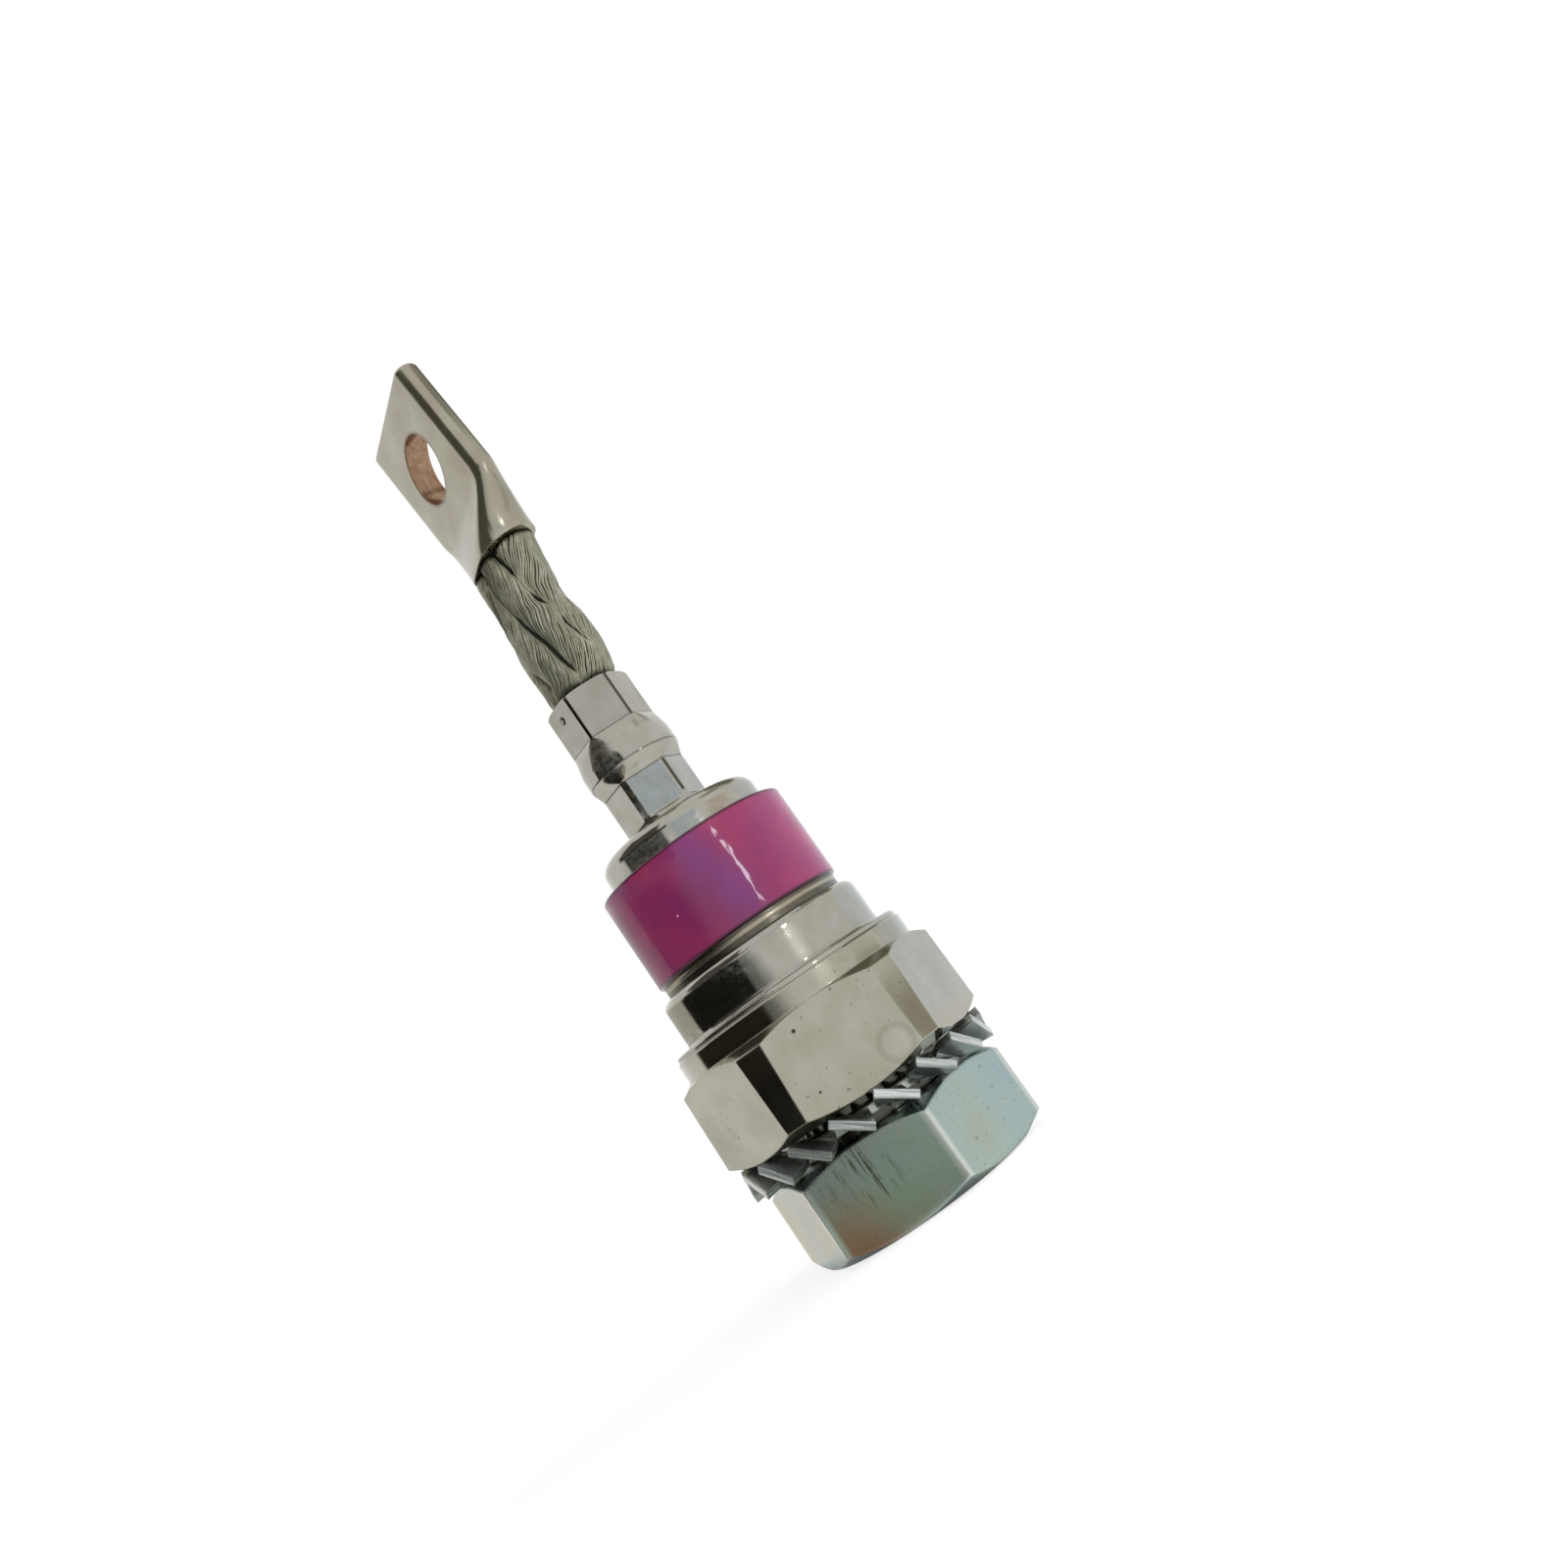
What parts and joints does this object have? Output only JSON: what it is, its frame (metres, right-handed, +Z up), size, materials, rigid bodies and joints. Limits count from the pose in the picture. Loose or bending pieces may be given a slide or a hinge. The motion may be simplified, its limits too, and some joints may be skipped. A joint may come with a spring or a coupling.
{
  "type": "stud mount diode",
  "caption": "Stud mount rectifier diode with a hexagon base, a ceramic housing, a crimped sleeve, a short stranded lead with a flat lug, and a lock washer and jam nut on the stud.",
  "frame": {"origin": "on the stud's axis in the plane of the nut's underside, which is the middle of the bounding box's underside", "axes": "+Z runs up the stud's axis towards the lug; -Y is the way the lug's face looks, along its hole"},
  "size_m": [0.0352, 0.0338, 0.1184],
  "materials": {
    "tinned_lug": "satin tin plate on copper",
    "tinned_strand": "dull tinned copper wire",
    "bright_nickel": "bright nickel plate",
    "purple_glaze": "glossy purple glaze",
    "gold_seal": "satin gold-grey plate",
    "satin_nickel": "satin nickel plate on copper",
    "zinc_steel": "dull zinc plate on spring steel",
    "blue_zinc": "bluish zinc plate on steel",
    "steel": "plain machined steel",
    "spring_steel": "dark hardened spring steel",
    "molybdenum": "lapped molybdenum",
    "silicon": "polished silicon",
    "coating_rubber": "red silicone rubber",
    "copper": "bare copper",
    "insulation": "pale insulating plastic"
  },
  "bodies": {
    "root": {"terminal_lug": "tinned_lug", "flexible_lead": "tinned_strand", "terminal_sleeve": "bright_nickel", "top_cap": "bright_nickel", "ceramic_insulator": "purple_glaze", "lower_seal_ring": "gold_seal", "housing_shell": "bright_nickel", "weld_ring": "steel", "stud_base": "satin_nickel", "lock_washer": "zinc_steel", "hex_nut": "blue_zinc", "lower_molybdenum_disc": "molybdenum", "silicon_wafer": "silicon", "junction_coating": "coating_rubber", "upper_molybdenum_disc": "molybdenum", "contact_post": "copper", "insulating_sleeve": "insulation", "insulating_washer": "insulation", "thrust_washer": "steel", "disc_spring_1": "spring_steel", "disc_spring_2": "spring_steel", "disc_spring_3": "spring_steel", "retaining_ring": "spring_steel", "clamp_cup": "steel", "inner_lead": "copper"}
  },
  "joints": []
}
